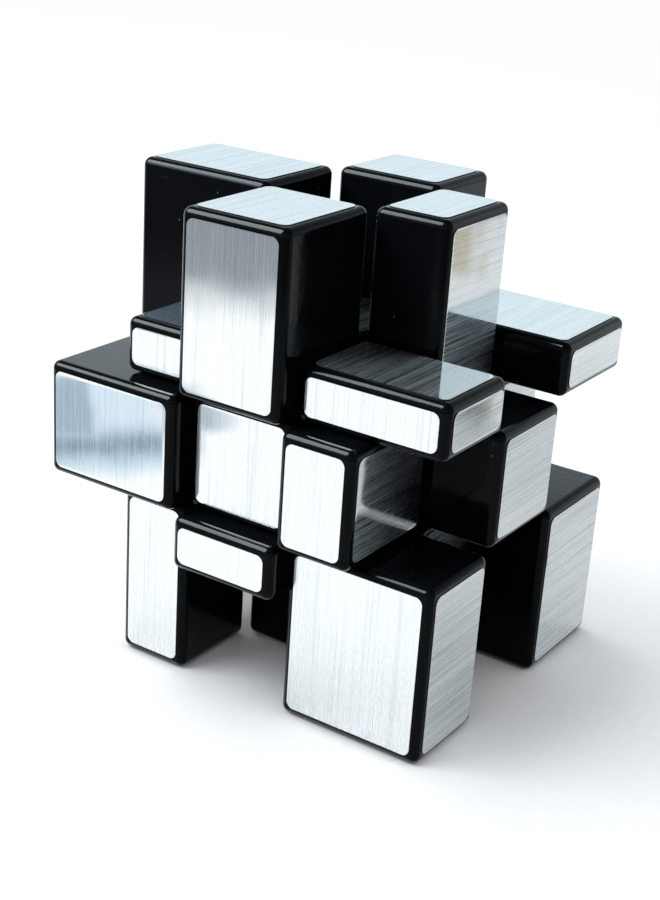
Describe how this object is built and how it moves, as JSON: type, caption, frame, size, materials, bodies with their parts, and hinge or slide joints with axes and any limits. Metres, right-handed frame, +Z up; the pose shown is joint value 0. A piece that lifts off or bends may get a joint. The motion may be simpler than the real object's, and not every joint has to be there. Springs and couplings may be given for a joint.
{
  "type": "twisty puzzle cube",
  "caption": "Twisty puzzle cube with layers of unequal thickness, black blocks faced with brushed silver foil, shown scrambled so that the blocks stand at many different depths.",
  "frame": {"origin": "centre of the core, where all six face axes meet", "axes": "+Z up, the six faces turn about X, Y and Z; the front face looks along -Y and the right face along +X"},
  "size_m": [0.069, 0.061, 0.077],
  "materials": {
    "block_plastic": "gloss",
    "inner_plastic": "satin",
    "foil": "brushed",
    "steel": "satin"
  },
  "bodies": {
    "core": {"core": "inner_plastic", "screws_and_springs": "steel"},
    "centre_up": {"centre_up": "inner_plastic", "cap_up": "block_plastic", "foils_up": "foil"},
    "centre_down": {"centre_down": "inner_plastic", "cap_down": "block_plastic", "foils_down": "foil"},
    "centre_front": {"centre_front": "inner_plastic", "cap_front": "block_plastic", "foils_front": "foil"},
    "centre_back": {"centre_back": "inner_plastic", "cap_back": "block_plastic", "foils_back": "foil"},
    "centre_right": {"centre_right": "inner_plastic", "cap_right": "block_plastic", "foils_right": "foil"},
    "centre_left": {"centre_left": "inner_plastic", "cap_left": "block_plastic", "foils_left": "foil"},
    "edge_up_front": {"edge_up_front": "block_plastic", "foils_up_front": "foil"},
    "edge_up_back": {"edge_up_back": "block_plastic", "foils_up_back": "foil"},
    "edge_up_right": {"edge_up_right": "block_plastic", "foils_up_right": "foil"},
    "edge_up_left": {"edge_up_left": "block_plastic", "foils_up_left": "foil"},
    "edge_down_front": {"edge_down_front": "block_plastic", "foils_down_front": "foil"},
    "edge_down_back": {"edge_down_back": "block_plastic", "foils_down_back": "foil"},
    "edge_down_right": {"edge_down_right": "block_plastic", "foils_down_right": "foil"},
    "edge_down_left": {"edge_down_left": "block_plastic", "foils_down_left": "foil"},
    "edge_front_right": {"edge_front_right": "block_plastic", "foils_front_right": "foil"},
    "edge_front_left": {"edge_front_left": "block_plastic", "foils_front_left": "foil"},
    "edge_back_right": {"edge_back_right": "block_plastic", "foils_back_right": "foil"},
    "edge_back_left": {"edge_back_left": "block_plastic", "foils_back_left": "foil"},
    "corner_up_front_right": {"corner_up_front_right": "block_plastic", "foils_up_front_right": "foil"},
    "corner_up_front_left": {"corner_up_front_left": "block_plastic", "foils_up_front_left": "foil"},
    "corner_up_back_right": {"corner_up_back_right": "block_plastic", "foils_up_back_right": "foil"},
    "corner_up_back_left": {"corner_up_back_left": "block_plastic", "foils_up_back_left": "foil"},
    "corner_down_front_right": {"corner_down_front_right": "block_plastic", "foils_down_front_right": "foil"},
    "corner_down_front_left": {"corner_down_front_left": "block_plastic", "foils_down_front_left": "foil"},
    "corner_down_back_right": {"corner_down_back_right": "block_plastic", "foils_down_back_right": "foil"},
    "corner_down_back_left": {"corner_down_back_left": "block_plastic", "foils_down_back_left": "foil"}
  },
  "joints": [
    {"name": "up_turn", "type": "hinge", "parent": "core", "child": "centre_up", "pos_m": [0, 0, 0], "axis": [0, 0, 1], "continuous": true},
    {"name": "down_turn", "type": "hinge", "parent": "core", "child": "centre_down", "pos_m": [0, 0, 0], "axis": [0, 0, -1], "continuous": true},
    {"name": "front_turn", "type": "hinge", "parent": "core", "child": "centre_front", "pos_m": [0, 0, 0], "axis": [0, -1, 0], "continuous": true},
    {"name": "back_turn", "type": "hinge", "parent": "core", "child": "centre_back", "pos_m": [0, 0, 0], "axis": [0, 1, 0], "continuous": true},
    {"name": "right_turn", "type": "hinge", "parent": "core", "child": "centre_right", "pos_m": [0, 0, 0], "axis": [1, 0, 0], "continuous": true},
    {"name": "left_turn", "type": "hinge", "parent": "core", "child": "centre_left", "pos_m": [0, 0, 0], "axis": [-1, 0, 0], "continuous": true},
    {"name": "edge_up_front_about_front", "type": "hinge", "parent": "centre_up", "child": "edge_up_front", "pos_m": [0, 0, 0], "axis": [0, -1, 0], "continuous": true},
    {"name": "edge_up_back_about_back", "type": "hinge", "parent": "centre_up", "child": "edge_up_back", "pos_m": [0, 0, 0], "axis": [0, 1, 0], "continuous": true},
    {"name": "edge_up_right_about_right", "type": "hinge", "parent": "centre_up", "child": "edge_up_right", "pos_m": [0, 0, 0], "axis": [1, 0, 0], "continuous": true},
    {"name": "edge_up_left_about_left", "type": "hinge", "parent": "centre_up", "child": "edge_up_left", "pos_m": [0, 0, 0], "axis": [-1, 0, 0], "continuous": true},
    {"name": "edge_down_front_about_down", "type": "hinge", "parent": "centre_front", "child": "edge_down_front", "pos_m": [0, 0, 0], "axis": [0, 0, -1], "continuous": true},
    {"name": "edge_down_back_about_down", "type": "hinge", "parent": "centre_back", "child": "edge_down_back", "pos_m": [0, 0, 0], "axis": [0, 0, -1], "continuous": true},
    {"name": "edge_down_right_about_down", "type": "hinge", "parent": "centre_right", "child": "edge_down_right", "pos_m": [0, 0, 0], "axis": [0, 0, -1], "continuous": true},
    {"name": "edge_down_left_about_down", "type": "hinge", "parent": "centre_left", "child": "edge_down_left", "pos_m": [0, 0, 0], "axis": [0, 0, -1], "continuous": true},
    {"name": "edge_front_right_about_right", "type": "hinge", "parent": "centre_front", "child": "edge_front_right", "pos_m": [0, 0, 0], "axis": [1, 0, 0], "continuous": true},
    {"name": "edge_front_left_about_front", "type": "hinge", "parent": "centre_left", "child": "edge_front_left", "pos_m": [0, 0, 0], "axis": [0, -1, 0], "continuous": true},
    {"name": "edge_back_right_about_back", "type": "hinge", "parent": "centre_right", "child": "edge_back_right", "pos_m": [0, 0, 0], "axis": [0, 1, 0], "continuous": true},
    {"name": "edge_back_left_about_left", "type": "hinge", "parent": "centre_back", "child": "edge_back_left", "pos_m": [0, 0, 0], "axis": [-1, 0, 0], "continuous": true},
    {"name": "corner_up_front_right_about_right", "type": "hinge", "parent": "edge_up_front", "child": "corner_up_front_right", "pos_m": [0, 0, 0], "axis": [1, 0, 0], "continuous": true},
    {"name": "corner_up_front_left_about_left", "type": "hinge", "parent": "edge_up_front", "child": "corner_up_front_left", "pos_m": [0, 0, 0], "axis": [-1, 0, 0], "continuous": true},
    {"name": "corner_up_back_right_about_right", "type": "hinge", "parent": "edge_up_back", "child": "corner_up_back_right", "pos_m": [0, 0, 0], "axis": [1, 0, 0], "continuous": true},
    {"name": "corner_up_back_left_about_left", "type": "hinge", "parent": "edge_up_back", "child": "corner_up_back_left", "pos_m": [0, 0, 0], "axis": [-1, 0, 0], "continuous": true},
    {"name": "corner_down_front_right_about_right", "type": "hinge", "parent": "edge_down_front", "child": "corner_down_front_right", "pos_m": [0, 0, 0], "axis": [1, 0, 0], "continuous": true},
    {"name": "corner_down_front_left_about_left", "type": "hinge", "parent": "edge_down_front", "child": "corner_down_front_left", "pos_m": [0, 0, 0], "axis": [-1, 0, 0], "continuous": true},
    {"name": "corner_down_back_right_about_right", "type": "hinge", "parent": "edge_down_back", "child": "corner_down_back_right", "pos_m": [0, 0, 0], "axis": [1, 0, 0], "continuous": true},
    {"name": "corner_down_back_left_about_left", "type": "hinge", "parent": "edge_down_back", "child": "corner_down_back_left", "pos_m": [0, 0, 0], "axis": [-1, 0, 0], "continuous": true}
  ],
  "couplings": [
    {"joint": "edge_up_front_about_front", "follows": "front_turn", "ratio": 1},
    {"joint": "edge_up_back_about_back", "follows": "back_turn", "ratio": 1},
    {"joint": "edge_up_right_about_right", "follows": "right_turn", "ratio": 1},
    {"joint": "edge_up_left_about_left", "follows": "left_turn", "ratio": 1},
    {"joint": "edge_down_front_about_down", "follows": "down_turn", "ratio": 1},
    {"joint": "edge_down_back_about_down", "follows": "down_turn", "ratio": 1},
    {"joint": "edge_down_right_about_down", "follows": "down_turn", "ratio": 1},
    {"joint": "edge_down_left_about_down", "follows": "down_turn", "ratio": 1},
    {"joint": "edge_front_right_about_right", "follows": "right_turn", "ratio": 1},
    {"joint": "edge_front_left_about_front", "follows": "front_turn", "ratio": 1},
    {"joint": "edge_back_right_about_back", "follows": "back_turn", "ratio": 1},
    {"joint": "edge_back_left_about_left", "follows": "left_turn", "ratio": 1},
    {"joint": "corner_up_front_right_about_right", "follows": "right_turn", "ratio": 1},
    {"joint": "corner_up_front_left_about_left", "follows": "left_turn", "ratio": 1},
    {"joint": "corner_up_back_right_about_right", "follows": "right_turn", "ratio": 1},
    {"joint": "corner_up_back_left_about_left", "follows": "left_turn", "ratio": 1},
    {"joint": "corner_down_front_right_about_right", "follows": "right_turn", "ratio": 1},
    {"joint": "corner_down_front_left_about_left", "follows": "left_turn", "ratio": 1},
    {"joint": "corner_down_back_right_about_right", "follows": "right_turn", "ratio": 1},
    {"joint": "corner_down_back_left_about_left", "follows": "left_turn", "ratio": 1}
  ]
}
